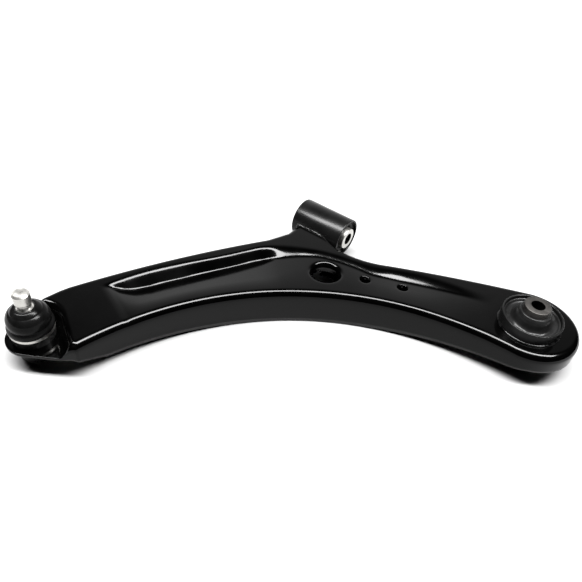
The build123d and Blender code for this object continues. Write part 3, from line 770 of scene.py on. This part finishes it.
# tubes and sleeves with rolled lips
TUBE_IN_R, TUBE_LIP, CUP_IN_R, CUP_HALF = 21.5, 1.8, 30.0, 24.0
SLEEVE_ROLL, CUP_ROLL = 0.9, 0.95
TUBE_LIP_DEPTH, CUP_LIP_DEPTH = 6, 8
CUP_RIPPLES = 120
tube_half = TUBE_LEN / 2
tube = turned("front_tube_skin",
              rounded([(TUBE_IN_R, -tube_half + TUBE_LIP_DEPTH), (TUBE_IN_R, -tube_half),
                       (TUBE_R, -tube_half), (TUBE_R, tube_half), (TUBE_IN_R, tube_half),
                       (TUBE_IN_R, tube_half - TUBE_LIP_DEPTH)], TUBE_LIP),
              (FRONT_X, 0, FRONT_Z), along_x=True)
stands_for(tube, "front_tube", "arm", "arm_paint")
cup = turned("rear_cup_skin",
             rounded([(CUP_IN_R, CUP_HALF - CUP_LIP_DEPTH), (CUP_IN_R, CUP_HALF), (CUP_R, CUP_HALF),
                      (CUP_R, -CUP_HALF), (CUP_IN_R, -CUP_HALF),
                      (CUP_IN_R, -CUP_HALF + CUP_LIP_DEPTH)], CUP_ROLL),
             (0, 0, 0))
stands_for(cup, "rear_outer_sleeve", "arm", "cup_steel")

front_sleeve = turned("front_sleeve_skin",
                      rounded([(FRONT_BORE_R, -FRONT_SLEEVE_HALF), (FRONT_SLEEVE_R, -FRONT_SLEEVE_HALF),
                               (FRONT_SLEEVE_R, FRONT_SLEEVE_HALF), (FRONT_BORE_R, FRONT_SLEEVE_HALF)],
                              SLEEVE_ROLL) + [np.array((FRONT_BORE_R, -FRONT_SLEEVE_HALF))],
                      (FRONT_X, 0, FRONT_Z), along_x=True)
stands_for(front_sleeve, "front_inner_sleeve", "front_sleeve", "bright_steel")
rear_sleeve = turned("rear_sleeve_skin",
                     rounded([(REAR_BORE_R, REST_Z), (REAR_SLEEVE_R, REST_Z),
                              (REAR_SLEEVE_R, REAR_SLEEVE_TOP_Z), (REAR_BORE_R, REAR_SLEEVE_TOP_Z)],
                             SLEEVE_ROLL) + [np.array((REAR_BORE_R, REST_Z))],
                     (0, 0, 0))
stands_for(rear_sleeve, "rear_inner_sleeve", "rear_sleeve", "sleeve_steel")


# ---------------------------------------------------------------- weld beads
BEAD_SIDES = 10
RIPPLE_PACE, DRIFT_PACE, DRIFT = 1.25, 0.37, 0.05
BEAD_END, BEAD_END_STEPS = 0.35, 6
EAR_BEAD_R, CUP_BEAD_R = 2.2, 1.7
EAR_SIDE_STEPS, EAR_TOP_STEPS, EAR_BEAD_INSET, EAR_BEAD_DROP = 14, 16, 2, 1.5
CUP_BEAD_RISE, CUP_BEAD_SLANT = 0.2, 0.6


def bead(name, path, size, node, seed, ripple_depth):
    """A hand-laid weld: overlapping round ripples along a path of (point, outward direction) pairs."""
    verts, faces = [], []
    for k, (point, out) in enumerate(path):
        before, after = path[max(k - 1, 0)][0], path[min(k + 1, len(path) - 1)][0]
        ahead = (Vector(after) - Vector(before)).normalized()
        out = Vector(out).normalized()
        side = ahead.cross(out).normalized()
        ripple = 1 + ripple_depth * abs(math.sin(k * RIPPLE_PACE + seed))
        ripple += DRIFT * math.sin(k * DRIFT_PACE + seed * 3)
        ends = min(1.0, BEAD_END + k / BEAD_END_STEPS, BEAD_END + (len(path) - 1 - k) / BEAD_END_STEPS)
        for i in range(BEAD_SIDES):
            a = 2 * math.pi * i / BEAD_SIDES
            offset = (out * math.cos(a) + side * math.sin(a)) * size * ripple * ends
            verts.append((Vector(point) + offset) * MM)
    for k in range(len(path) - 1):
        for i in range(BEAD_SIDES):
            n = (i + 1) % BEAD_SIDES
            here, there = k * BEAD_SIDES, (k + 1) * BEAD_SIDES
            faces.append((here + i, here + n, there + n, there + i))
    faces.append(tuple(range(BEAD_SIDES)))
    faces.append(tuple((len(path) - 1) * BEAD_SIDES + i for i in reversed(range(BEAD_SIDES))))
    weld = new_mesh(name, verts, faces)
    clean_up(weld, merge=False)
    stands_for(weld, node, "arm", "arm_paint")
    return weld


def ear_path():
    """Along the ear's top edge on the tube, then down both of its sides."""
    top_angle = math.asin((TOP_Z - EAR_BEAD_DROP - FRONT_Z) / TUBE_R)
    low_angle = math.asin(max(-1, (REST_Z + UNDERCUT_RISE - FRONT_Z) / TUBE_R))
    run = []
    for t in np.linspace(low_angle, top_angle, EAR_SIDE_STEPS):
        run.append((EAR_X0, t))
    for x in np.linspace(EAR_X0 + EAR_BEAD_INSET, EAR_X1 - EAR_BEAD_INSET, EAR_TOP_STEPS):
        run.append((x, top_angle))
    for t in np.linspace(top_angle, low_angle, EAR_SIDE_STEPS):
        run.append((EAR_X1, t))
    path = []
    for x, t in run:
        out = (0, math.cos(t), math.sin(t))
        path.append(((x, TUBE_R * out[1], FRONT_Z + TUBE_R * out[2]), out))
    return path


def cup_path():
    path = []
    for k in range(CUP_RIPPLES + 1):
        a = 2 * math.pi * k / CUP_RIPPLES
        across, along = math.cos(a), math.sin(a)
        place = (CUP_R * across, CUP_R * along, TOP_Z + CUP_BEAD_RISE)
        path.append((place, (across, along, CUP_BEAD_SLANT)))
    return path


ear_bead = bead("ear_weld_bead", ear_path(), EAR_BEAD_R, "ear_weld", 0.4, 0.06)
bead("rear_cup_weld_bead", cup_path(), CUP_BEAD_R, "rear_cup_weld", 1.1, 0.16)

# every CAD node takes its slot's finish, and three pieces have their own
node_slots = {entry["node"]: entry["material_slot"] for entry in frame["record"]["subparts"]}
for node, obj in frame["nodes"].items():
    paint(obj, FINISH[node_slots[node]])
paint(shell, gloss_black)
paint(ear_bead, satin_black)
paint(tube, tube_black)
paint(front_sleeve, front_steel)


# ---------------------------------------------------------------- floor, light and camera
CENTRE = Vector((0.18, 0.13, 0.0))
AWAY = Vector((0.543, -0.840, 0.0))       # level direction from the camera to the object
ACROSS = Vector((0.840, 0.543, 0.0))
WORLD_START, WORLD_PALE = 0.45, 1.35       # share of AWAY where the backdrop starts, and its brightness
STRIP_POWER = 190.0
# the floor grows paler away from the lamp, so that it stays evenly white
FLOOR_NEAR, FLOOR_FAR = 0.2, 0.9
FLOOR_START, FLOOR_END = 0.4, 1.3          # metres from the middle of the floor
FLOOR_SIZE, FLOOR_PLACE, FLOOR_GAP = 12.0, (0.2, 0.15), 0.0002
STRIP_HEIGHT, STRIP_SIZE = 1.3, (2.4, 0.34)
LENS, SENSOR, CLIP_NEAR, CLIP_FAR = 34.02, 36.0, 0.01, 50
CAMERA_PLACE = (-0.0159, 0.4972, 0.4170)
CAMERA_RIGHT = Vector((-0.7964, -0.5999, 0.0766))
CAMERA_FORWARD = Vector((0.3983, -0.6156, -0.6800))


def add_floor():
    """A plain floor whose paint is paler where less light reaches it."""
    bpy.ops.mesh.primitive_plane_add(size=FLOOR_SIZE, location=(*FLOOR_PLACE, REST_Z * MM - FLOOR_GAP))
    floor = bpy.context.object
    floor.name = "studio_floor"
    material, tree, shader = node_material("studio_white")
    coordinates = tree.nodes.new("ShaderNodeTexCoord")
    away = tree.nodes.new("ShaderNodeVectorMath")
    away.operation = "LENGTH"
    tree.links.new(coordinates.outputs["Object"], away.inputs[0])
    pale = ramp(tree, away.outputs["Value"], FLOOR_NEAR, FLOOR_FAR, FLOOR_START, FLOOR_END)
    tree.links.new(pale, shader.inputs["Base Color"])
    shader.inputs["Roughness"].default_value = 0.9
    floor.data.materials.append(material)


def add_strip(name, place, size, power):
    """A long lamp across the view that shines straight down."""
    light = bpy.data.lights.new(name, "AREA")
    light.shape = "RECTANGLE"
    light.size, light.size_y = size
    light.energy = power
    obj = bpy.data.objects.new(name, light)
    obj.location = place
    obj.rotation_mode = "QUATERNION"
    obj.rotation_quaternion = Matrix((ACROSS, -AWAY, Vector((0, 0, 1)))).transposed().to_quaternion()
    bpy.context.scene.collection.objects.link(obj)


def add_camera():
    data = bpy.data.cameras.new("camera")
    data.lens = LENS
    data.sensor_width = SENSOR
    data.clip_start = CLIP_NEAR
    data.clip_end = CLIP_FAR
    camera = bpy.data.objects.new("camera", data)
    right = CAMERA_RIGHT.normalized()
    forward = CAMERA_FORWARD.normalized()
    up = right.cross(forward).normalized()
    right = forward.cross(up)
    camera.matrix_world = Matrix((
        (right.x, up.x, -forward.x, CAMERA_PLACE[0]),
        (right.y, up.y, -forward.y, CAMERA_PLACE[1]),
        (right.z, up.z, -forward.z, CAMERA_PLACE[2]),
        (0, 0, 0, 1)))
    bpy.context.scene.collection.objects.link(camera)
    bpy.context.scene.camera = camera


def add_world():
    """Dim studio: pale beyond the object, dark behind the camera."""
    world = bpy.data.worlds.new("studio")
    world.use_nodes = True
    tree = world.node_tree
    coordinates = tree.nodes.new("ShaderNodeTexCoord")
    along = tree.nodes.new("ShaderNodeVectorMath")
    along.operation = "DOT_PRODUCT"
    along.inputs[1].default_value = AWAY
    tree.links.new(coordinates.outputs["Generated"], along.inputs[0])
    strength = ramp(tree, along.outputs["Value"], 0.0, WORLD_PALE, WORLD_START, 1.0)
    strength.node.interpolation_type = "SMOOTHSTEP"
    tree.nodes["Background"].inputs["Color"].default_value = (1, 1, 1, 1)
    tree.links.new(strength, tree.nodes["Background"].inputs["Strength"])
    bpy.context.scene.world = world


add_floor()
add_strip("overhead", CENTRE + Vector((0, 0, STRIP_HEIGHT)), STRIP_SIZE, STRIP_POWER)
add_camera()
add_world()

scene = bpy.context.scene
scene.view_settings.view_transform = "Standard"
scene.view_settings.look = "None"
